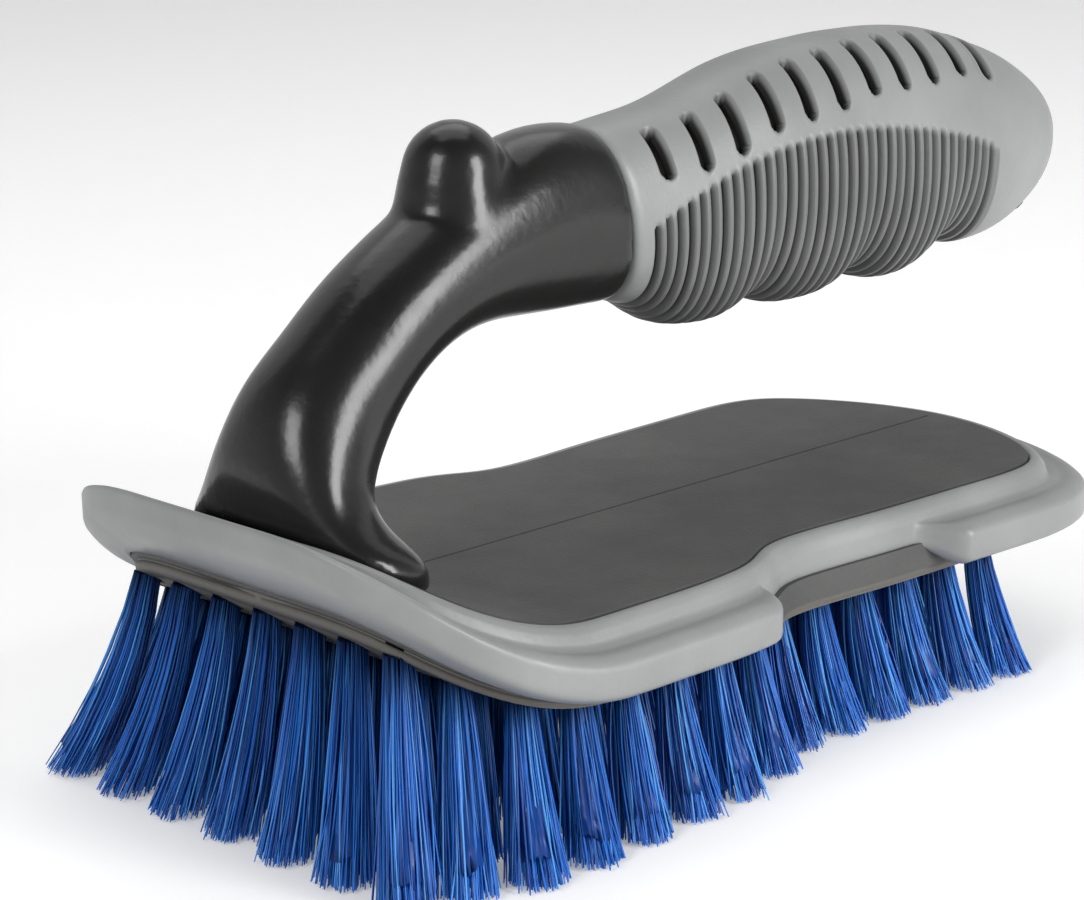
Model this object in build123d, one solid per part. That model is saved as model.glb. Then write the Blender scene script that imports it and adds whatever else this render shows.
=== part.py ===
from build123d import *
import math
import os

os.makedirs("parts", exist_ok=True)

# Wheel brush. Working frame: X towards the tail of the handle, Z up, deck top at Z = 0.
# Everything is moved at the end so the origin is the bottom centre of the whole brush.

# ---- driving dimensions, mm ----
FLOOR_Z = -33.4        # plane the bristle ends are trimmed to
RISE = 12.6            # how far the front of the base turns up
RISE_FROM = 8.0        # X where the upturn starts
RISE_TO = -24.0        # X where it reaches RISE
DECK_T = 2.4           # deck plate thickness
SKIRT_OUT = 4.2        # skirt stands this far outside the deck outline
SKIRT_IN = 2.2
SKIRT_TOP = -6.5       # ledge height of the skirt
SKIRT_BOT = -10.8
BLOCK_BOT = -12.4
BLOCK_OUT = 2.0
FLANGE_OUT = 3.5
ROLL_OUT = 10.0        # bumper roll outside the deck outline
ROLL_TOP = -3.0
ROLL_BOT = -10.6
NOTCH_X = (41.5, 85.5)  # side notch in the bumper roll
SKIN = 2.4             # thickness of the soft grip sleeve
SEAM_X = 45.5          # where neck meets sleeve
SEAM_TILT = 8.0        # degrees
SLOT_COUNT, SLOT_PITCH, SLOT_W = 11, 8.0, 2.9
RIB_COUNT, RIB_PITCH, RIB_W, RIB_D = 35, 2.42, 1.2, 1.15
TUFT_PITCH = 10.0
ROW_COUNT = 16
ROW_X0 = -25.0
TAIL_ROWS = {14: 14.5, 15: 4.8}   # half widths of the two short rows that round off the tail
HOLE_R, HOLE_DEPTH = 2.3, 6.6
TUFT_R_ROOT, TUFT_R_TIP = 2.2, 4.65
SPLAY = 6.5            # how far a tuft 38 mm out leans outwards at its tip

# deck outline, front centre to rear centre, one half
HALF = [(-23.5, 0), (-23.5, 12), (-23.2, 21), (-20.8, 28.5), (-14, 34), (-5, 37.2), (5, 38.4), (18, 38.6),
        (31, 38.4), (37.5, 37.8), (42, 36.9), (46, 35.3), (50, 33.2), (54.5, 31.8), (60, 31.4), (75, 32.3),
        (90, 33.0), (105, 33.5), (114, 33.4), (120.5, 31.6), (125.5, 26.8), (129.5, 20), (132.8, 11), (134.3, 0)]


def rise(x):
    t = max(0.0, (RISE_FROM - x) / (RISE_FROM - RISE_TO))
    return RISE * t * t


def closed(points):
    return Wire(Edge.make_spline([Vector(*p) for p in points], periodic=True))


BASE_EDGE = Edge.make_spline([Vector(x, y, 0) for x, y in HALF] + [Vector(x, -y, 0) for x, y in HALF[-2:0:-1]],
                             periodic=True)


def outline(off, n=96):
    """Deck outline moved outwards by off (a number, or a function of X)."""
    pts = []
    for i in range(n):
        p, t = BASE_EDGE.position_at(i / n), BASE_EDGE.tangent_at(i / n)
        nx, ny = t.Y, -t.X
        if nx * (p.X - 50) + ny * p.Y < 0:
            nx, ny = -nx, -ny
        d = off(p.X) if callable(off) else off
        pts.append((p.X + nx * d, p.Y + ny * d, 0))
    return closed(pts)


def slab(hi, lo, half_y=70.0, x0=-60.0, x1=160.0):
    """Layer that follows the upturned front, between heights hi and lo."""
    def curve(c):
        xs = [x0 + (RISE_FROM - x0) * i / 18 for i in range(19)]
        return Edge.make_spline([Vector(x, 0, rise(x) + c) for x in xs],
                                tangents=[Vector(1, 0, -2 * RISE * (RISE_FROM - x0) / (RISE_FROM - RISE_TO) ** 2),
                                          Vector(1, 0, 0)])
    top, bot = curve(hi), curve(lo)
    parts = [top, Edge.make_line(Vector(RISE_FROM, 0, hi), Vector(x1, 0, hi)),
             Edge.make_line(Vector(x1, 0, hi), Vector(x1, 0, lo)),
             Edge.make_line(Vector(x1, 0, lo), Vector(RISE_FROM, 0, lo)), bot,
             Edge.make_line(Vector(x0, 0, rise(x0) + lo), Vector(x0, 0, rise(x0) + hi))]
    face = Face(Wire(parts))
    return Solid.extrude(face, Vector(0, 2 * half_y, 0)).moved(Location((0, -half_y, 0)))


def plate(off, hi, lo):
    """Base layer: outline offset by off, between hi and lo along the upturn."""
    prism = Solid.extrude(Face(outline(off)), Vector(0, 0, 80)).moved(Location((0, 0, -30)))
    return (Part() + prism) & slab(hi, lo)


def ellipse_pts(a, b, n=16, power=2.3):
    out = []
    for i in range(n):
        t = 2 * math.pi * i / n
        c, s = math.cos(t), math.sin(t)
        out.append((math.copysign(abs(c) ** (2 / power), c) * b, math.copysign(abs(s) ** (2 / power), s) * a))
    return out


def section(cx, cz, a, b, lean=0.0, power=2.3):
    """Face across the arm at (cx, cz): half height a in the arm's own plane, half width b along Y."""
    r = math.radians(lean)
    up = Vector(-math.sin(r), 0, math.cos(r))
    pts = [Vector(cx, 0, cz) + Vector(0, u, 0) + up * v for u, v in ellipse_pts(a, b, power=power)]
    even = [i / len(pts) for i in range(len(pts) + 1)]
    return Face(Wire(Edge.make_spline(pts, periodic=True, parameters=even)))


# grip profile: X, top, bottom, half width
GRIP = [(41, 64.4, 36.2, 11.2), (46, 64.2, 35.4, 11.4), (52, 64.8, 33.4, 11.9), (58, 65.6, 30.4, 12.5),
        (66, 67.3, 28.7, 13.1), (73, 69.3, 29.3, 13.6), (78.5, 70.7, 31.4, 13.9), (84, 71.7, 29.6, 14.2),
        (91, 72.4, 28.7, 14.5), (98, 72.8, 29.8, 14.7), (103, 73.0, 32.1, 14.8), (108.5, 73.0, 30.2, 14.8),
        (114, 72.9, 29.0, 14.7), (121, 72.4, 30.6, 14.5), (127, 71.5, 34.0, 14.2), (132, 70.2, 32.6, 13.7),
        (137, 68.6, 32.2, 13.2), (145, 65.8, 33.4, 11.9), (152, 62.2, 36.3, 10.2), (158, 57.8, 40.6, 7.6),
        (162, 53.6, 45.2, 4.4)]


def grip_body(inset, x_end=None):
    faces = []
    for x, top, bot, b in GRIP:
        if x_end is not None and x > x_end:
            break
        faces.append(section(x, (top + bot) / 2, (top - bot) / 2 - inset, b - inset))
    return Solid.make_loft([f.outer_wire() for f in faces])


def seam_block(gap, side):
    """Half space in front of (side -1) or behind (side +1) the tilted seam."""
    b = Box(200, 60, 120).moved(Location((side * (100 + gap), 0, 0)))
    return b.moved(Location((SEAM_X, 0, 49.6), (0, -SEAM_TILT, 0)))


# ---- arm: foot, column, neck, and the core that runs on inside the sleeve ----
ARM = [(-13.5, 4.0, 10.2, 24.3, 80, 3.0), (-15.5, 12.5, 9.8, 20.8, 76, 2.7), (-15.9, 18.0, 10.2, 15.0, 66, 2.4),
       (-13.8, 24.0, 10.8, 12.6, 56, 2.2), (-9.2, 30.2, 10.6, 11.4, 50, 2.1), (-2.6, 36.6, 9.8, 11.0, 42, 2.1),
       (5.0, 42.0, 9.8, 11.0, 32, 2.1), (13.5, 46.0, 10.8, 11.0, 21, 2.1), (23.0, 48.9, 12.9, 11.1, 11, 2.1),
       (33.0, 50.4, 14.6, 11.2, 4, 2.2), (46.5, 49.65, 14.2, 11.4, 0, 2.3)]
arm = Part() + Solid.make_loft([section(x, z, a, b, lean, p).outer_wire()
                                for x, z, a, b, lean, p in ARM])
arm -= slab(0, -60)
ball = Sphere(8.0).moved(Location((17.4, 0, 60.4)))
stalk = Part() + Solid.make_cone(10.8, 8.0, 12.8, Plane(origin=(17.0, 0, 47.6)))
arm = arm + ball + stalk
arm = arm - seam_block(0.0, 1)
core = Part() + grip_body(SKIN, x_end=153)
arm = arm + (core & seam_block(-0.8, 1))
ARM_SCREWS = [(-9.5, -9.6), (-9.5, 9.6)]
for sx, sy in ARM_SCREWS:
    arm -= Cylinder(1.6, 26).moved(Location((sx, sy, 4.0)))

# ---- soft sleeve over the core ----
outer = Part() + grip_body(0.0)
sleeve = (outer & seam_block(0.12, 1)) - core
skin_floor = grip_body(RIB_D)


def panel_top(x):
    """Upper edge of the ribbed side panel."""
    t = (x - 92.0) / 42.0
    return 59.0 - 8.0 * t * t if x > 92 else 59.0 - 10.5 * t * t


teeth = []
for i in range(RIB_COUNT):
    x = 50.2 + i * RIB_PITCH
    top = panel_top(x)
    teeth.append(Box(RIB_W, 40, top - 20).moved(Location((x, 0, (top + 20) / 2))))
comb = Part() + teeth
sleeve = sleeve - (comb - skin_floor)
slots = []
for i in range(SLOT_COUNT):
    x = 54.0 + i * SLOT_PITCH
    mid = [g for g in GRIP if g[0] <= x][-1]
    nxt = [g for g in GRIP if g[0] > x][0]
    f = (x - mid[0]) / (nxt[0] - mid[0])
    top, half = mid[1] + f * (nxt[1] - mid[1]), mid[3] + f * (nxt[3] - mid[3])
    for s in (-1, 1):
        box = Box(SLOT_W, 14, 9.4)
        box = fillet(box.edges().filter_by(Axis.Y), SLOT_W / 2 - 0.02)
        slots.append(box.moved(Location((x, s * (half - 4.6), top - 7.2), (s * 42, 0, 0))))
sleeve = sleeve - (Part() + slots)

# ---- deck shell: plate, skirt, screw bosses, centre crease ----
deck = plate(0.0, 0.0, -DECK_T)
web = plate(SKIRT_OUT, SKIRT_TOP, SKIRT_BOT) - plate(SKIRT_IN, 5, SKIRT_BOT - 5)
rib = plate(SKIRT_IN + 0.6, -1.6, SKIRT_TOP) - plate(-0.6, 5, -DECK_T) - plate(SKIRT_IN, -DECK_T, SKIRT_BOT)
deck = deck + rib + web
BLOCK_SCREWS = [(30.0, -14.05), (30.0, 14.05), (100.0, -9.35), (100.0, 9.35)]
for sx, sy in BLOCK_SCREWS:
    deck += Cylinder(3.2, 5.0).moved(Location((sx, sy, -DECK_T - 2.5)))
    deck -= Cylinder(1.2, 4.6).moved(Location((sx, sy, -DECK_T - 2.7)))
deck -= Box(128, 0.5, 0.8).moved(Location((68, 0, 0.1)))
for sx, sy in ARM_SCREWS:
    deck -= Cylinder(2.2, 40).moved(Location((sx, sy, 0)))

# ---- soft bumper ----


def roll(x):
    lead, trail = NOTCH_X
    if x < lead - 4:
        return ROLL_OUT + 1.2 * max(0.0, min(1.0, (-8 - x) / 10))
    if x < lead:
        return 4.5 + (ROLL_OUT - 4.5) * math.sqrt(max(0.0, 1 - ((x - lead + 4) / 4) ** 2))
    if x < trail:
        return 3.4
    return 3.4 + (ROLL_OUT - 3.4) * min(1.0, (x - trail) / 7)


rim = plate(3.4, -0.5, SKIRT_TOP) - plate(0.15, 5, -30) - plate(SKIRT_IN + 0.75, -1.45, SKIRT_TOP - 1)
lobe_body = plate(ROLL_OUT, ROLL_TOP, ROLL_BOT)
lobe_body = lobe_body - plate(SKIRT_OUT + 0.15, 5, -40)
rims = sorted([e for e in lobe_body.edges() if e.length > 150], key=lambda e: -e.length)[:2]
for size, tool in ((2.2, chamfer), (1.4, chamfer)):
    try:
        lobe_body = Part() + tool(rims, size)
        break
    except Exception as err:
        print("roll edge not broken at", size, err)
lobe_in = plate(ROLL_OUT - 3, ROLL_TOP, SKIRT_TOP + 0.05) - plate(3.2, 5, -40)
gap_len = NOTCH_X[1] - NOTCH_X[0]
notch = Box(gap_len, 40, 30)
notch = fillet(notch.edges().filter_by(Axis.Z), 5.0)
cuts = Part()
for s in (-1, 1):
    cuts += notch.moved(Location(((NOTCH_X[0] + NOTCH_X[1]) / 2, s * 54.8, -6)))
bumper = rim + (lobe_in + lobe_body - cuts)

# ---- tuft block ----
block = plate(BLOCK_OUT, -DECK_T - 0.05, SKIRT_BOT) + plate(FLANGE_OUT, SKIRT_BOT - 0.05, BLOCK_BOT) \
    + plate(BLOCK_OUT, SKIRT_BOT + 1, SKIRT_BOT - 1)


def half_width(x):
    """Half width of the deck outline at X."""
    for (xa, ya), (xb, yb) in zip(HALF, HALF[1:]):
        if xa <= x <= xb and xb > xa:
            return ya + (yb - ya) * (x - xa) / (xb - xa)
    return 27.0 if x < 0 else 0.0


rows = []
for r in range(ROW_COUNT):
    x = ROW_X0 + TUFT_PITCH * r
    x_in = max(x, -22.0)
    w = min(half_width(x_in) - 0.6, 37.6)
    if r == 0:
        x, w = -22.0, 29.5
    w = TAIL_ROWS.get(r, w)
    n = int(2 * w / 9.2) + 1
    rows.append([(x, -w + 2 * w * k / (n - 1)) for k in range(n)])
rows[1] = [(x + 1.0, y) for x, y in rows[1]]

holes = []
for row in rows:
    for x, y in row:
        zb = rise(x) + BLOCK_BOT
        holes.append(Cylinder(HOLE_R, HOLE_DEPTH + 8).moved(Location((x, y, zb + HOLE_DEPTH - (HOLE_DEPTH + 8) / 2))))
block = block - (Part() + holes)
for sx, sy in BLOCK_SCREWS:
    block -= Cylinder(3.4, 5.4).moved(Location((sx, sy, -DECK_T - 2.5)))
    block -= Cylinder(1.7, 30).moved(Location((sx, sy, -DECK_T - 15)))
    block -= Cylinder(3.0, 8).moved(Location((sx, sy, BLOCK_BOT + 1.8 - 4)))
for sx, sy in ARM_SCREWS:
    block -= Cylinder(2.2, 60).moved(Location((sx, sy, 0)))
    block -= Cylinder(3.5, 20).moved(Location((sx, sy, rise(sx) + BLOCK_BOT + 3.4 - 10)))

# ---- screws, two kinds ----
block_screws = Part()
for sx, sy in BLOCK_SCREWS:
    block_screws += Cylinder(2.8, 1.6).moved(Location((sx, sy, BLOCK_BOT + 1.8 - 0.8)))
    block_screws += Cylinder(1.5, 3.2).moved(Location((sx, sy, BLOCK_BOT + 1.8 + 1.6)))
    block_screws += Cylinder(1.15, 6.4).moved(Location((sx, sy, BLOCK_BOT + 1.8 + 3.2)))
arm_screws = Part()
for sx, sy in ARM_SCREWS:
    seat = rise(sx) + BLOCK_BOT + 3.4
    arm_screws += Cylinder(3.3, 2.0).moved(Location((sx, sy, seat - 1.0)))
    arm_screws += Cylinder(1.55, 18.0).moved(Location((sx, sy, seat + 9.0)))


def tuft(x, y):
    """Bundle of filament: straight in its hole, then fanning to the trimmed ends."""
    zb = rise(x) + BLOCK_BOT
    reach = (x - 51) / 76
    dx = (9.0 if reach < 0 else 2.0) * reach
    dy = y / 38 * (SPLAY + 7.0 * max(0.0, -reach) ** 2)
    root = Solid.make_cylinder(TUFT_R_ROOT, HOLE_DEPTH - 0.1, Plane(origin=(x, y, zb)))
    low = Wire(Edge.make_circle(TUFT_R_ROOT, Plane(origin=(x, y, zb))))
    mid = Wire(Edge.make_circle(3.4, Plane(origin=(x + dx * 0.42, y + dy * 0.42, zb + (FLOOR_Z - zb) * 0.45))))
    tip = Wire(Edge.make_circle(TUFT_R_TIP, Plane(origin=(x + dx, y + dy, FLOOR_Z))))
    return (Part() + Solid.make_loft([low, mid, tip]) + root)


def anchor(x, y):
    """Flat wire staple across the fold of one tuft, biting into the hole wall."""
    zt = rise(x) + BLOCK_BOT + HOLE_DEPTH
    return Box(0.5, 2 * HOLE_R, 1.6).moved(Location((x, y, zt - 1.1)))


nodes = {"handle_arm": arm, "deck_shell": deck, "bumper_rim": bumper, "grip_sleeve": sleeve,
         "tuft_block": block, "block_screws": block_screws, "arm_screws": arm_screws}
for r, row in enumerate(rows, start=1):
    tufts = [tuft(x, y) - anchor(x, y) for x, y in row]
    staples = [anchor(x, y) & Cylinder(HOLE_R, 200).moved(Location((x, y, 0))) for x, y in row]
    nodes["tuft_row_%02d" % r] = Compound(children=[Compound(p.wrapped) for p in tufts])
    nodes["anchor_row_%02d" % r] = Compound(children=[Compound(p.wrapped) for p in staples])

boxes = [p.bounding_box() for p in nodes.values()]
x_lo, x_hi = min(b.min.X for b in boxes), max(b.max.X for b in boxes)
z_lo = min(b.min.Z for b in boxes)
SHIFT = Location((-(x_lo + x_hi) / 2, 0, -z_lo))
print("shift", -(x_lo + x_hi) / 2, -z_lo, "size", x_hi - x_lo, max(b.max.Z for b in boxes) - z_lo)
for name, shape in nodes.items():
    moved = shape.moved(SHIFT)
    export_step(moved, "parts/%s.step" % name)
    print(name, len(moved.solids()), round(sum(s.volume for s in moved.solids()), 1))
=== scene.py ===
import math

import bpy
import numpy as np
from mathutils import Matrix, Vector


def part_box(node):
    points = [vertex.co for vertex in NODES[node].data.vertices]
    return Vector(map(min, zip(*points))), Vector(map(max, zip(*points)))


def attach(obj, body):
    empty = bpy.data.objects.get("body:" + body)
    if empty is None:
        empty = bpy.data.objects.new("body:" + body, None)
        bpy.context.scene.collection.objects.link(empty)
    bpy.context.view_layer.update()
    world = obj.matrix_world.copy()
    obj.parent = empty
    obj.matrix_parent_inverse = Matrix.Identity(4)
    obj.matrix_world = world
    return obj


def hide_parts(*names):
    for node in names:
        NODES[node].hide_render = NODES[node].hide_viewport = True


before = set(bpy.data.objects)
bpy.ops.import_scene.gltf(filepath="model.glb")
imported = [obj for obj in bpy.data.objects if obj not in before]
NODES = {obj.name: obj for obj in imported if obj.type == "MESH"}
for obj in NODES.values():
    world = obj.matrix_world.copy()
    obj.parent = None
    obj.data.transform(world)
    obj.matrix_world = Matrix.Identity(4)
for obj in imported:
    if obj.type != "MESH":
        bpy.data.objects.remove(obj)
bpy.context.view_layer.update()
rng = np.random.default_rng(11)

# ---- working frame in mm: deck top at z 0, x towards the tail; SHIFT takes it to the row frame ----
SKIRT_OUT, DECK_FRONT = 4.2, -23.5
lo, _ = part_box("deck_shell")
FLOOR_Z = -33.4
SHIFT = np.array([lo[0] * 1000 - (DECK_FRONT - SKIRT_OUT), 0.0, -FLOOR_Z])
RISE, RISE_FROM, RISE_TO = 12.6, 8.0, -24.0    # upturned front of the base
NOTCH = (41.5, 85.5)                           # X range of the notch in each side of the bumper
ROLL_OUT = 10.0                                # how far the bumper roll stands outside the deck outline
# deck outline, front centre to rear centre, one half
HALF = [(-23.5, 0), (-23.5, 12), (-23.2, 21), (-20.8, 28.5), (-14, 34), (-5, 37.2), (5, 38.4), (18, 38.6),
        (31, 38.4), (37.5, 37.8), (42, 36.9), (46, 35.3), (50, 33.2), (54.5, 31.8), (60, 31.4), (75, 32.3),
        (90, 33.0), (105, 33.5), (114, 33.4), (120.5, 31.6), (125.5, 26.8), (129.5, 20), (132.8, 11),
        (134.3, 0)]
# grip profile: X, top, bottom, half width
GRIP = [(41, 64.4, 36.2, 11.2), (46, 64.2, 35.4, 11.4), (52, 64.8, 33.4, 11.9), (58, 65.6, 30.4, 12.5),
        (66, 67.3, 28.7, 13.1), (73, 69.3, 29.3, 13.6), (78.5, 70.7, 31.4, 13.9), (84, 71.7, 29.6, 14.2),
        (91, 72.4, 28.7, 14.5), (98, 72.8, 29.8, 14.7), (103, 73.0, 32.1, 14.8), (108.5, 73.0, 30.2, 14.8),
        (114, 72.9, 29.0, 14.7), (121, 72.4, 30.6, 14.5), (127, 71.5, 34.0, 14.2), (132, 70.2, 32.6, 13.7),
        (137, 68.6, 32.2, 13.2), (145, 65.8, 33.4, 11.9), (152, 62.2, 36.3, 10.2), (158, 57.8, 40.6, 7.6),
        (162, 53.6, 45.2, 4.4)]


def rise(x):
    """Height of the upturned base above its flat part."""
    t = np.clip((RISE_FROM - np.asarray(x, float)) / (RISE_FROM - RISE_TO), 0, None)
    return RISE * t * t


def smooth(a, b, x):
    t = np.clip((np.asarray(x, float) - a) / (b - a), 0, 1)
    return t * t * (3 - 2 * t)


def spline(s, q, t, closed=False):
    """Cubic spline of the rows q at parameters s, read at t."""
    s, q, t = np.asarray(s, float), np.asarray(q, float), np.asarray(t, float)
    if q.ndim == 1:
        q = q[:, None]
    n = len(s)
    h = np.diff(s)
    A, B = np.zeros((n, n)), np.zeros((n, q.shape[1]))
    d = np.diff(q, axis=0) / h[:, None]
    for i in range(1, n - 1):
        A[i, i - 1], A[i, i], A[i, i + 1] = h[i - 1], 2 * (h[i - 1] + h[i]), h[i]
        B[i] = 6 * (d[i] - d[i - 1])
    if closed:
        A[0, 0], A[0, n - 1] = 1, -1
        A[n - 1, 0], A[n - 1, 1] = 2 * h[0], h[0]
        A[n - 1, n - 1], A[n - 1, n - 2] = 2 * h[-1], h[-1]
        B[n - 1] = 6 * (d[0] - d[-1])
    else:
        A[0, 0] = A[n - 1, n - 1] = 1
    m = np.linalg.solve(A, B)
    k = np.clip(np.searchsorted(s, t, side="right") - 1, 0, n - 2)
    u, w, hh = (t - s[k])[:, None], (s[k + 1] - t)[:, None], h[k][:, None]
    return (m[k] * w ** 3 + m[k + 1] * u ** 3) / (6 * hh) + (q[k] / hh - m[k] * hh / 6) * w \
        + (q[k + 1] / hh - m[k + 1] * hh / 6) * u


def outline(n):
    """Closed deck outline: points and outward normals in plan."""
    q = np.array(HALF + [(x, -y) for x, y in HALF[-2:0:-1]] + HALF[:1], float)
    s = np.r_[0, np.cumsum(np.hypot(*np.diff(q, axis=0).T))]
    t = np.linspace(0, s[-1], n, endpoint=False)
    p = spline(s, q, t, True)
    d = np.roll(p, -1, 0) - np.roll(p, 1, 0)
    nrm = np.stack([d[:, 1], -d[:, 0]], 1) / np.hypot(*d.T)[:, None]
    return p, np.where(((nrm * (p - [50, 0])).sum(1) < 0)[:, None], -nrm, nrm)


def add_mesh(name, verts, faces, mats, index=None, attr=None):
    """Object from points in the working frame; attr is the share of painted shade at each point."""
    me = bpy.data.meshes.new(name)
    v = (np.asarray(verts, float).reshape(-1, 3) + SHIFT) / 1000
    f = np.asarray(faces)
    me.vertices.add(len(v))
    me.vertices.foreach_set("co", v.ravel())
    me.loops.add(f.size)
    me.loops.foreach_set("vertex_index", f.ravel().astype(np.int32))
    me.polygons.add(len(f))
    me.polygons.foreach_set("loop_start", np.arange(0, f.size, f.shape[1], dtype=np.int32))
    me.polygons.foreach_set("loop_total", np.full(len(f), f.shape[1], np.int32))
    me.update(calc_edges=True)
    for m in mats:
        me.materials.append(m)
    if index is not None:
        me.polygons.foreach_set("material_index", np.asarray(index, np.int32))
    me.polygons.foreach_set("use_smooth", np.ones(len(f), bool))
    if attr is not None:
        a = me.attributes.new("painted_shade", "FLOAT", "POINT")
        a.data.foreach_set("value", np.asarray(attr, np.float32).ravel())
    me.validate()
    o = bpy.data.objects.new(name, me)
    bpy.context.scene.collection.objects.link(o)
    return o


def grid_faces(nu, nv, close_u=False, close_v=True):
    """Quads between nu rings of nv points."""
    u = np.arange(nu if close_u else nu - 1)
    v = np.arange(nv if close_v else nv - 1)
    U, V = np.meshgrid(u, v, indexing="ij")
    a, b = (U + 1) % nu, (V + 1) % nv
    return np.stack([U * nv + V, a * nv + V, a * nv + b, U * nv + b], -1).reshape(-1, 4)


# ---- materials ----
def material(name, base, rough, scale=900.0, bump=0.05, tint=None, spread=0.12, coat=0.0, painted_shade=None,
             spec=0.5, rough_spread=0.1):
    """Surface with mottled colour, uneven roughness and a fine grain of the given scale."""
    m = bpy.data.materials.new(name)
    m.use_nodes = True
    nt = m.node_tree
    bsdf = nt.nodes["Principled BSDF"]
    bsdf.inputs["Specular IOR Level"].default_value = spec
    bsdf.inputs["Coat Weight"].default_value = coat
    bsdf.inputs["Coat Roughness"].default_value = 0.12
    geo = nt.nodes.new("ShaderNodeNewGeometry")

    def noise(sc, detail=4.0):
        n = nt.nodes.new("ShaderNodeTexNoise")
        n.inputs["Scale"].default_value = sc
        n.inputs["Detail"].default_value = detail
        nt.links.new(geo.outputs["Position"], n.inputs["Vector"])
        return n
    big, small = noise(45.0), noise(scale)
    ramp = nt.nodes.new("ShaderNodeValToRGB")
    dark = [c * (1 - spread) for c in base]
    light = [c * (1 + spread) for c in (tint or base)]
    ramp.color_ramp.elements[0].position, ramp.color_ramp.elements[1].position = 0.3, 0.7
    ramp.color_ramp.elements[0].color = (*dark, 1)
    ramp.color_ramp.elements[1].color = (*light, 1)
    nt.links.new(big.outputs["Fac"], ramp.inputs["Fac"])
    colour = ramp.outputs["Color"]
    # painted shade: each point's share mixes the colour towards a dark shade colour and lowers the
    # specular, standing in for shadow
    if painted_shade is not None:
        at = nt.nodes.new("ShaderNodeAttribute")
        at.attribute_name = "painted_shade"
        mix = nt.nodes.new("ShaderNodeMix")
        mix.data_type = "RGBA"
        mix.inputs[7].default_value = (*painted_shade, 1)
        nt.links.new(at.outputs["Fac"], mix.inputs[0])
        nt.links.new(colour, mix.inputs[6])
        colour = mix.outputs[2]
        shine = nt.nodes.new("ShaderNodeMapRange")
        shine.inputs["To Min"].default_value, shine.inputs["To Max"].default_value = spec, 0.04
        nt.links.new(at.outputs["Fac"], shine.inputs["Value"])
        nt.links.new(shine.outputs["Result"], bsdf.inputs["Specular IOR Level"])
    nt.links.new(colour, bsdf.inputs["Base Color"])
    mr = nt.nodes.new("ShaderNodeMapRange")
    mr.inputs["To Min"].default_value = max(0.03, rough - rough_spread)
    mr.inputs["To Max"].default_value = min(1.0, rough + rough_spread)
    nt.links.new(noise(160.0, 6.0).outputs["Fac"], mr.inputs["Value"])
    nt.links.new(mr.outputs["Result"], bsdf.inputs["Roughness"])
    bp = nt.nodes.new("ShaderNodeBump")
    bp.inputs["Strength"].default_value = bump
    bp.inputs["Distance"].default_value = 0.0004
    nt.links.new(small.outputs["Fac"], bp.inputs["Height"])
    nt.links.new(bp.outputs["Normal"], bsdf.inputs["Normal"])
    return m


BLACK = material("arm_black_gloss", (0.006, 0.006, 0.0058), 0.25, 700, 0.12, (0.010, 0.010, 0.0095),
                 coat=0.15, spec=0.38, rough_spread=0.09)
# painted sheen: the deck is the arm's black plastic given a dark grey base colour that stands in for the
# sheen its flat top catches from overhead
DECK_PAINTED_SHEEN = material("deck_black_painted_sheen", (0.050, 0.050, 0.049), 0.62, 1800, 0.35, (0.060, 0.060, 0.058),
                rough_spread=0.08)
# its near-black mix colour is painted shade for the rib grooves, the slots, the ribbed panel and the
# bumper's inner wall
GREY = material("soft_grey", (0.205, 0.21, 0.208), 0.42, 1200, 0.12, (0.235, 0.24, 0.238), spread=0.06,
                painted_shade=(0.006, 0.0055, 0.0045), rough_spread=0.1)
BLOCK = material("block_warm", (0.085, 0.08, 0.072), 0.6, 900, 0.12, spread=0.08)
STEEL = material("screw_steel", (0.5, 0.5, 0.49), 0.35, 2500, 0.1)
STEEL.node_tree.nodes["Principled BSDF"].inputs["Metallic"].default_value = 1.0


def filament_material(name, base, tint):
    # the dark blue mix colour is painted shade for the tuft roots and cores
    return material(name, base, 0.36, 3000, 0.1, tint, spread=0.0, painted_shade=(0.003, 0.008, 0.03))


BLUES = [filament_material("filament_blue", (0.006, 0.12, 0.52), (0.008, 0.15, 0.60)),
         filament_material("filament_blue_light", (0.05, 0.27, 0.72), (0.09, 0.34, 0.80)),
         filament_material("filament_blue_deep", (0.004, 0.055, 0.30), (0.005, 0.07, 0.36))]

# ---- grip sleeve: ribs and slots cut into a lofted skin ----
SEAM_TILT, SEAM_Z, SKIN = math.radians(8), 49.6, 2.4
RIB_X0, RIB_PITCH, RIBS, RIB_D = 50.2, 2.42, 35, 1.15
SLOTS, SLOT_X0, SLOT_PITCH, SLOT_HALF = 11, 54.0, 8.0, 1.45
SHOULDER_R = 16.0      # turns an angle round the grip into a length
TAIL_X, TAIL_ROUND = 162.0, 0.9
gx = np.array([g[0] for g in GRIP], float)


def grip_at(x):
    """Top, bottom and half width of the grip at each X."""
    return spline(gx, np.array([g[1:] for g in GRIP], float), np.clip(x, gx[0], gx[-1]))


def section(x, n, power=2.3, scale=1.0):
    """Points round the grip at each X, with its half height along Z and half width along Y."""
    g = grip_at(x)
    a, b = (g[:, 0] - g[:, 1]) / 2, g[:, 2]
    t = np.arange(n) / n * 2 * math.pi
    c, s = np.cos(t), np.sin(t)
    cy = np.sign(c) * np.abs(c) ** (2 / power)
    sz = np.sign(s) * np.abs(s) ** (2 / power)
    sc = np.broadcast_to(scale, x.shape)[:, None]
    y, z = b[:, None] * cy * sc, (g[:, 0] + g[:, 1])[:, None] / 2 + a[:, None] * sz * sc
    return np.stack([np.broadcast_to(x[:, None], y.shape), y, z], -1), a, b


def panel_top(x):
    """Height where the ribs run out."""
    return 59.0 - np.where(x > 92, 8.0, 10.5) * ((x - 92.0) / 42.0) ** 2


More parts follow.
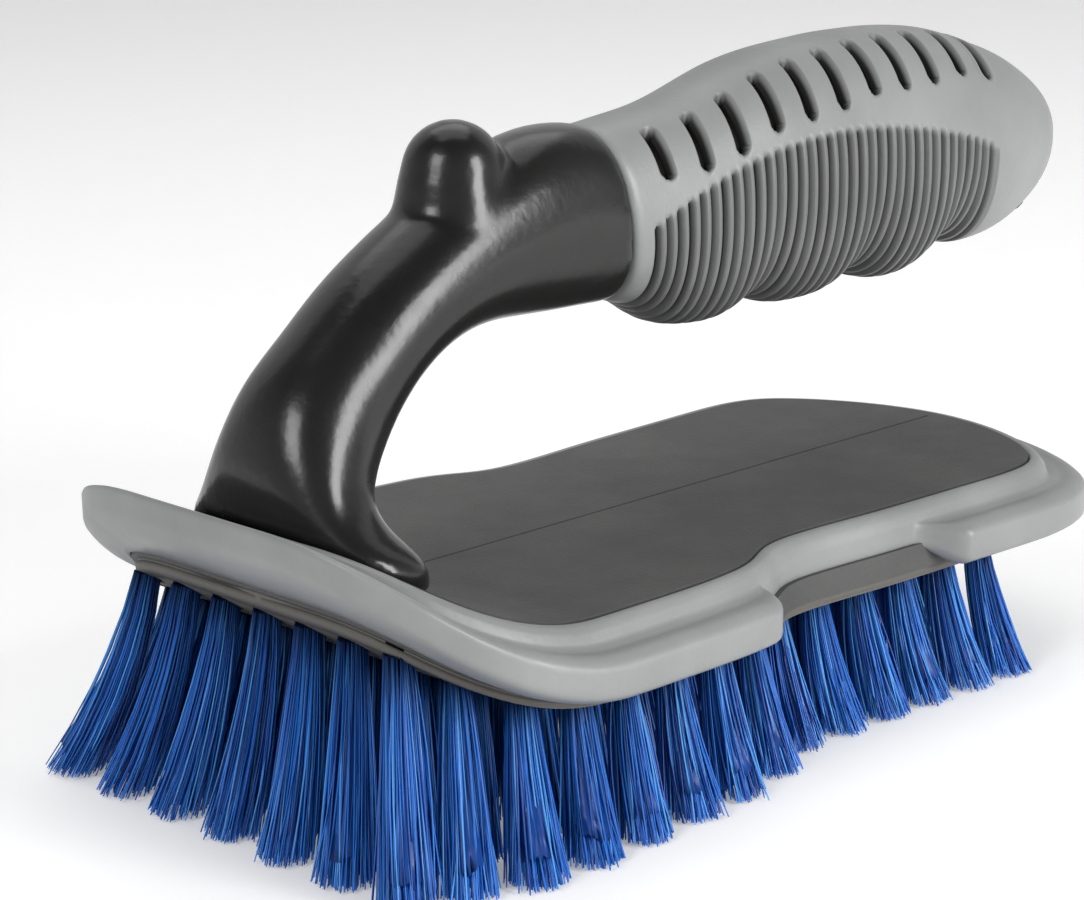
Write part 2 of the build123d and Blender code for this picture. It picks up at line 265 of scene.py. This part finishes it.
NV = 220
step = 0.25
xs = np.r_[[45.55, 45.7, 45.95, 46.4, 47.0], np.arange(47.6, 137.5, step), np.arange(138.0, TAIL_X, 0.8),
           TAIL_X + TAIL_ROUND * np.sin(np.linspace(0.1, math.pi / 2, 7))]
over = np.clip((xs - TAIL_X) / TAIL_ROUND, 0, 1)
end_scale = np.where(xs > TAIL_X, np.cos(np.clip(np.arcsin(over), 0, 1.56)), 1.0)
P, A, B = section(xs, NV, scale=end_scale)
middle = grip_at(xs)[:, 0:2].mean(1)[:, None]
down = np.stack([np.zeros_like(P[..., 0]), -P[..., 1], middle - P[..., 2]], -1)
down /= np.linalg.norm(down, axis=-1, keepdims=True) + 1e-9
X, Y, Z = P[..., 0], P[..., 1], P[..., 2]
depth = np.interp(X, [45.5, 45.7, 45.95, 46.5, 47.2], [1.5, 0.8, 0.4, 0.1, 0.0])   # rounded lip at the neck
# ribs
k = np.round((X - RIB_X0) / RIB_PITCH)
off = np.abs(X - RIB_X0 - k * RIB_PITCH)
top = panel_top(X)
on = ((k >= 0) & (k < RIBS)) * (1 - smooth(0.42, 0.78, off)) * smooth(0.0, 0.7, top - Z)
depth = depth + RIB_D * on
panel = (X > RIB_X0 - 1) * (X < RIB_X0 + RIBS * RIB_PITCH) * smooth(0.0, 1.2, top - Z)
# painted shade: the whole ribbed panel is darkened as if facing away from the light, and the grooves
# between the ribs darker still
painted_shade = np.maximum(0.40 * panel, on * (1 - smooth(0.38, 0.72, off)))
# slots, one set on each shoulder
phi = np.arctan2(np.clip((Z - middle) / A[:, None], -1, 1), np.abs(Y) / B[:, None])
for i in range(SLOTS):
    f = i / (SLOTS - 1)
    a1, a2 = math.radians(24 + 13 * f), math.radians(60 + 16 * f)
    along, across = np.abs(phi - (a1 + a2) / 2) * SHOULDER_R, np.abs(X - (SLOT_X0 + SLOT_PITCH * i))
    straight = (a2 - a1) / 2 * SHOULDER_R - SLOT_HALF
    q = np.hypot(across, np.maximum(along - straight, 0)) - SLOT_HALF
    cut = 1 - smooth(-0.28, 0.16, q)
    rim_lift = 0.16 * np.exp(-((q - 0.75) / 0.5) ** 2)
    depth = np.maximum(depth, SKIN * 0.97 * cut) - rim_lift * (1 - cut)
    # painted shade: the slots are darkened to near black for the shade inside them
    painted_shade = np.maximum(painted_shade, 1 - smooth(-0.18, 0.22, q))
P = P + down * depth[..., None]
P[..., 0] -= (P[..., 2] - SEAM_Z) * math.tan(SEAM_TILT) * (1 - smooth(46, 62, X))
sleeve = add_mesh("sleeve", P, grid_faces(len(xs), NV), [GREY], attr=painted_shade)
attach(sleeve, "root"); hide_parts("grip_sleeve")


# ---- bumper: one rolled profile swept round the deck ----
def bumper_profile(w, px):
    """(offset, height) points of the section; w is how much of the roll there is, px its reach."""
    rim = np.array([(0.12, -2.6), (0.12, -1.0), (0.3, -0.45), (0.8, -0.22), (1.6, -0.25), (2.4, -0.75),
                    (3.0, -1.6), (3.35, -2.7)])
    a = np.linspace(0, 1, 21)
    th = math.pi * (0.62 - 1.30 * a)
    full = np.stack([3.9 + (px - 3.9) * np.clip(0.52 + 0.60 * np.cos(th), 0, 1.0),
                     -7.0 + 3.65 * np.sin(th)], 1)
    full[0] = (3.75, -3.6)
    flat = np.stack([np.full(21, 3.42), -3.1 - 3.4 * np.clip(a * 1.25, 0, 1)], 1)
    flat[17:] = [(3.3, -6.55), (2.9, -6.6), (2.5, -6.6), (2.3, -6.6)]
    tail = np.array([(4.3, -10.3), (4.25, -9.0)])
    tail_flat = np.array([(2.3, -6.0), (2.3, -5.4)])
    return np.vstack([rim, flat + (full - flat) * w, tail_flat + (tail - tail_flat) * w])


NU = 1100
rim_points, rim_normals = outline(NU)
ox = rim_points[:, 0]


def sweep(profiles):
    """Rings of points from a profile of (offset, height) at each point of the deck outline."""
    rings = []
    for i, prof in enumerate(profiles):
        q = rim_points[i] + rim_normals[i] * prof[:, :1]
        rings.append(np.column_stack([q, rise(q[:, 0]) + prof[:, 1]]))
    return np.array(rings)


lead, trail = NOTCH
t_in = np.clip((ox - (lead - 4.5)) / 4.5, 0, 1)
w_front = np.sqrt(np.clip(1 - t_in ** 2, 0, 1))
w_rear = smooth(trail - 1.5, trail + 6.5, ox)
w = np.where(ox < lead, w_front, w_rear)
reach = ROLL_OUT + 1.1 * np.clip((-8 - ox) / 10, 0, 1)
V = sweep([bumper_profile(wi, ri) for wi, ri in zip(w, reach)])
# painted shade: the bumper's inner wall at the deck edge is darkened for the shade in the gap between deck
# and bumper
rim_crevice_shade = np.zeros(V.shape[:2])
rim_crevice_shade[:, 0:2] = 0.6
bumper = add_mesh("bumper", V, grid_faces(NU, V.shape[1], True, True), [GREY], attr=rim_crevice_shade)
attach(bumper, "root"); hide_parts("bumper_rim")

# ---- lower edge of the tuft block, one unbroken strip under the bumper ----
edge = np.array([(1.2, -11.0), (3.2, -11.0), (3.5, -11.2), (3.5, -12.1), (3.2, -12.4), (1.2, -12.42)])
strip = add_mesh("block_edge", sweep([edge] * NU), grid_faces(NU, len(edge), True, True), [BLOCK])
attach(strip, "root")

# ---- arm: the moulding's solid, with its corners melted together ----
CORE_FROM = 100.0      # X behind which the arm is only the core inside the grip
TOE_DRAW, TOE_LOW, TOE_HIGH = 0.12, 9, 24
src = NODES["handle_arm"]
arm = bpy.data.objects.new("arm", src.data.copy())
bpy.context.scene.collection.objects.link(arm)
for kind, values in (("REMESH", {"mode": "VOXEL", "voxel_size": 0.0007}),
                     ("SMOOTH", {"factor": 0.5, "iterations": 22})):
    md = arm.modifiers.new(kind.lower(), kind)
    for key, val in values.items():
        setattr(md, key, val)
dg = bpy.context.evaluated_depsgraph_get()
baked = bpy.data.meshes.new_from_object(arm.evaluated_get(dg))
arm.modifiers.clear()
arm.data = baked
arm.data.materials.clear(); arm.data.materials.append(BLACK)
arm.data.polygons.foreach_set("use_smooth", np.ones(len(arm.data.polygons), bool))
co = np.zeros(len(arm.data.vertices) * 3, np.float32)
arm.data.vertices.foreach_get("co", co)
placed = np.array(src.matrix_world)
pos = (co.reshape(-1, 3) @ placed[:3, :3].T + placed[:3, 3]) * 1000 - SHIFT
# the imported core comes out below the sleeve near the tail, so its underside is raised here
inner = pos[:, 0] > CORE_FROM
pos[inner, 2] = np.maximum(pos[inner, 2], grip_at(pos[inner, 0])[:, 1] + SKIN)
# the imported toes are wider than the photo's, so they draw in where they meet the deck
pos[:, 1] *= (1 - TOE_DRAW) + TOE_DRAW * smooth(TOE_LOW, TOE_HIGH, pos[:, 2])
back_to = np.linalg.inv(placed)
co = ((pos + SHIFT) / 1000) @ back_to[:3, :3].T + back_to[:3, 3]
arm.data.vertices.foreach_set("co", co.astype(np.float32).ravel())
arm.data.update()
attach(arm, "root"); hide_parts("handle_arm")


# ---- tufts: every bundle is a fluted body with loose filaments round it ----
TUFT_PITCH, ROW_COUNT, ROW_X0, BLOCK_BOT = 10.0, 16, -25.0, -12.4
TAIL_ROWS = {14: 14.5, 15: 4.8}                 # half widths of the two short rows at the tail
SEGMENTS = 5                                    # along a filament
STRAND_R = 0.17
SPLAY_MID, SPLAY_SPAN = 51, 76                  # X of the upright tufts, and the run to full lean
SPLAY_FRONT, SPLAY_REAR, SPLAY_SIDE, SPLAY_CORNER = 9.0, 2.0, 6.5, 7.0


def half_width(x):
    return float(np.interp(x, *np.array(HALF[2:]).T)) if x > -23.2 else 21.0


def tuft_rows():
    """Root positions, row by row from the front."""
    out = []
    for r in range(ROW_COUNT):
        x = ROW_X0 + TUFT_PITCH * r
        wd = min(half_width(max(x, -22.0)) - 0.6, 37.6)
        if r == 0:
            x, wd = -22.0, 29.5
        wd = TAIL_ROWS.get(r, wd)
        n = int(2 * wd / 9.2) + 1
        out.append([(x + (1.0 if r == 1 else 0.0), -wd + 2 * wd * k / (n - 1)) for k in range(n)])
    return out


def splay(cx, cy):
    """How far the tip of a tuft leans away from its root."""
    far = (cx - SPLAY_MID) / SPLAY_SPAN
    along = (SPLAY_FRONT if far < 0 else SPLAY_REAR) * far
    return along, cy / 38 * (SPLAY_SIDE + SPLAY_CORNER * max(0.0, -far) ** 2)


def fibres(cx, cy, n, seg):
    """n filaments of one tuft as three-sided tapering strands."""
    zb = float(rise(cx)) + BLOCK_BOT
    dx, dy = splay(cx, cy)
    r0 = np.sqrt(rng.uniform(0.12, 1.0, n)) * 2.15
    a0 = rng.uniform(0, 2 * math.pi, n)
    spread = 2.05 * (1 + rng.normal(0, 0.05, n))
    cut = FLOOR_Z + np.abs(rng.normal(0, 0.28, n)) + (rng.random(n) < 0.06) * rng.uniform(0.4, 1.6, n)
    jit = rng.normal(0, 0.42, (n, 2))
    t = np.linspace(0, 1, seg + 1)[None, :]
    bow = rng.normal(0, 0.35, (n, 2))
    ease = (0.55 * t + 0.45 * t ** 2)
    rad = r0[:, None] * (1 + (spread[:, None] - 1) * ease)
    px = cx + dx * ease + np.cos(a0)[:, None] * rad + jit[:, :1] * t ** 2 + bow[:, :1] * np.sin(math.pi * t)
    py = cy + dy * ease + np.sin(a0)[:, None] * rad + jit[:, 1:] * t ** 2 + bow[:, 1:] * np.sin(math.pi * t)
    pz = (zb + 1.0) + (cut[:, None] - zb - 1.0) * t
    th = np.full_like(t, STRAND_R) * np.interp(t, [0, 0.9, 1], [1, 1, 0.72])
    phase = rng.uniform(0, 2 * math.pi, n)
    ring = phase[:, None] + np.arange(3)[None, :] * 2 * math.pi / 3
    vx = px[:, :, None] + th[:, :, None] * np.cos(ring)[:, None, :]
    vy = py[:, :, None] + th[:, :, None] * np.sin(ring)[:, None, :]
    vz = np.broadcast_to(pz[:, :, None], vx.shape)
    v = np.stack([vx, vy, vz], -1)
    f = grid_faces(seg + 1, 3)
    faces = (f[None] + (np.arange(n) * (seg + 1) * 3)[:, None, None]).reshape(-1, 4)
    mat = rng.choice(3, n, p=[0.52, 0.22, 0.26])
    # painted shade: each filament darkens towards its root for the shade under the block and between the
    # tufts
    d = np.interp(t, [0, 0.1, 0.3, 1], [0.95, 0.55, 0.12, 0.0])
    d = np.broadcast_to(d[:, :, None], (n, seg + 1, 3))
    return v.reshape(-1, 3), faces, np.repeat(mat, len(f)), d.reshape(-1)


def bundle(cx, cy):
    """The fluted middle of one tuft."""
    zb = float(rise(cx)) + BLOCK_BOT
    dx, dy = splay(cx, cy)
    nu, nv = 9, 30
    t = np.linspace(0, 1, nu)[:, None]
    ease = 0.55 * t + 0.45 * t ** 2
    a = np.arange(nv)[None, :] / nv * 2 * math.pi
    flute = 1 + 0.10 * np.where(np.arange(nv) % 2 == 0, 1, -1)[None, :] + rng.normal(0, 0.05, (1, nv))
    r = 1.2 * (1 + 0.85 * ease) * flute
    z = zb + 1.0 + (FLOOR_Z + 3.2 + rng.uniform(0, 1.6, (1, nv)) - zb - 1.0) * t
    v = np.stack([cx + dx * ease + r * np.cos(a), cy + dy * ease + r * np.sin(a), z], -1).reshape(-1, 3)
    # last ring drawn in to a small cap
    cap = v[-nv:].copy()
    cap[:, :2] = (cx + dx, cy + dy) + (cap[:, :2] - (cx + dx, cy + dy)) * 0.06
    cap[:, 2] = FLOOR_Z + 4.6
    # painted shade: the core, drawn in the deep blue, is darkened along its length and most at the root for
    # the shade inside the tuft
    d = np.interp(np.repeat(t.ravel(), nv), [0, 0.12, 0.35, 1], [1.0, 0.75, 0.45, 0.3])
    return np.vstack([v, cap]), grid_faces(nu + 1, nv), np.r_[d, np.full(nv, 0.35)]


for r, row in enumerate(tuft_rows(), start=1):
    vs, fs, ms, ds, base = [], [], [], [], 0
    for j, (cx, cy) in enumerate(row):
        outer = j in (0, 1, len(row) - 2, len(row) - 1) or r in (1, 2, ROW_COUNT - 1, ROW_COUNT)
        n = 260 if outer else 80
        v, f, m, d = fibres(cx, cy, n, SEGMENTS)
        core_v, core_f, core_d = bundle(cx, cy)
        for pv, pf, pm, pd in ((v, f, m, d), (core_v, core_f, np.full(len(core_f), 2), core_d)):
            vs.append(pv)
            fs.append(pf + base)
            ms.append(pm)
            ds.append(pd)
            base += len(pv)
    o = add_mesh("tufts_%02d" % r, np.vstack(vs), np.vstack(fs), BLUES, np.concatenate(ms),
                 np.concatenate(ds))
    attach(o, "root"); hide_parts("tuft_row_%02d" % r)

# ---- carried-over CAD nodes ----
for name, node in NODES.items():
    mat = {"deck_shell": DECK_PAINTED_SHEEN, "tuft_block": BLOCK, "block_screws": STEEL, "arm_screws": STEEL}.get(name)
    if name.startswith("anchor"):
        mat = STEEL
    if mat:
        node.data.materials.clear()
        node.data.materials.append(mat)

# ---- floor, light, camera ----
floor_mat = material("floor_white", (0.86, 0.86, 0.855), 0.7, 60, 0.0, spread=0.01)
glow = floor_mat.node_tree.nodes["Principled BSDF"].inputs
glow["Emission Color"].default_value, glow["Emission Strength"].default_value = (1, 0.995, 0.985, 1), 0.27
fl = bpy.data.meshes.new("floor")
SPAN, CURVE_FROM, CURVE_R, FLOOR_GAP = 6.0, 1.6, 1.2, 0.0002     # metres; the floor curves up behind
bend = np.linspace(0.15, math.pi / 2, 12)
ys = [-SPAN, CURVE_FROM, *(CURVE_FROM + CURVE_R * math.sin(a) for a in bend), CURVE_FROM + CURVE_R]
zs = [0, 0, *(CURVE_R - CURVE_R * math.cos(a) for a in bend), SPAN]
cov = [(x, y, z - FLOOR_GAP) for x in (-SPAN, SPAN) for y, z in zip(ys, zs)]
n = len(ys)
fl.from_pydata(cov, [], [(i, i + 1, n + i + 1, n + i) for i in range(n - 1)])
fl.polygons.foreach_set("use_smooth", np.ones(len(fl.polygons), bool))
fl.materials.append(floor_mat)
floor = bpy.data.objects.new("floor", fl)
floor.rotation_euler = (0, 0, math.radians(-43))
bpy.context.scene.collection.objects.link(floor)

world = bpy.data.worlds.new("studio")
bpy.context.scene.world = world
world.use_nodes = True
wt = world.node_tree
coord, split = wt.nodes.new("ShaderNodeTexCoord"), wt.nodes.new("ShaderNodeSeparateXYZ")
sky = wt.nodes.new("ShaderNodeValToRGB")
for stop, (at, colour) in zip(sky.color_ramp.elements, ((0.1, (0.95, 0.96, 0.98, 1)),
                                                        (0.85, (0.16, 0.16, 0.17, 1)))):
    stop.position, stop.color = at, colour
wt.links.new(coord.outputs["Generated"], split.inputs["Vector"])
wt.links.new(split.outputs["Z"], sky.inputs["Fac"])
wt.links.new(sky.outputs["Color"], wt.nodes["Background"].inputs["Color"])
wt.nodes["Background"].inputs["Strength"].default_value = 0.60


def lamp(name, at, target, size, power, size_y=None):
    d = bpy.data.lights.new(name, "AREA")
    d.shape = "RECTANGLE"
    d.size, d.size_y, d.energy = size, size_y or size, power
    o = bpy.data.objects.new(name, d)
    o.location = at
    o.rotation_euler = (Vector(target) - Vector(at)).to_track_quat("-Z", "Y").to_euler()
    bpy.context.scene.collection.objects.link(o)
    return o


lamp("top_soft", (0.15, 0.25, 0.9), (0, 0, 0.03), 0.8, 2.6)
lamp("key_left", (-0.8, -0.1, 0.55), (0, 0, 0.04), 0.35, 3.2)
lamp("strip_right", (0.25, -0.9, 0.30), (0, 0, 0.07), 0.35, 9.0, 0.6)

cam_d = bpy.data.cameras.new("camera")
cam_d.sensor_fit, cam_d.sensor_width, cam_d.lens = "HORIZONTAL", 36.0, 99.6
cam_d.clip_start, cam_d.clip_end = 0.05, 30.0
cam = bpy.data.objects.new("camera", cam_d)
az, el, roll = (math.radians(v) for v in (-43.4, 14.9, -1.28))
back = Vector((math.sin(az) * math.cos(el), -math.cos(az) * math.cos(el), math.sin(el)))
right = Vector((0, 0, 1)).cross(back).normalized()
up = back.cross(right)
r2 = right * math.cos(roll) + up * math.sin(roll)
u2 = up * math.cos(roll) - right * math.sin(roll)
rot = Matrix((r2, u2, back)).transposed()
CAM_AT = np.array([-284.22, -337.59, 136.52])     # working frame, mm
cam.matrix_world = Matrix.Translation((SHIFT + CAM_AT) / 1000) @ rot.to_4x4()
bpy.context.scene.collection.objects.link(cam)
bpy.context.scene.camera = cam
bpy.context.scene.view_settings.view_transform = "Standard"

bpy.context.view_layer.update()
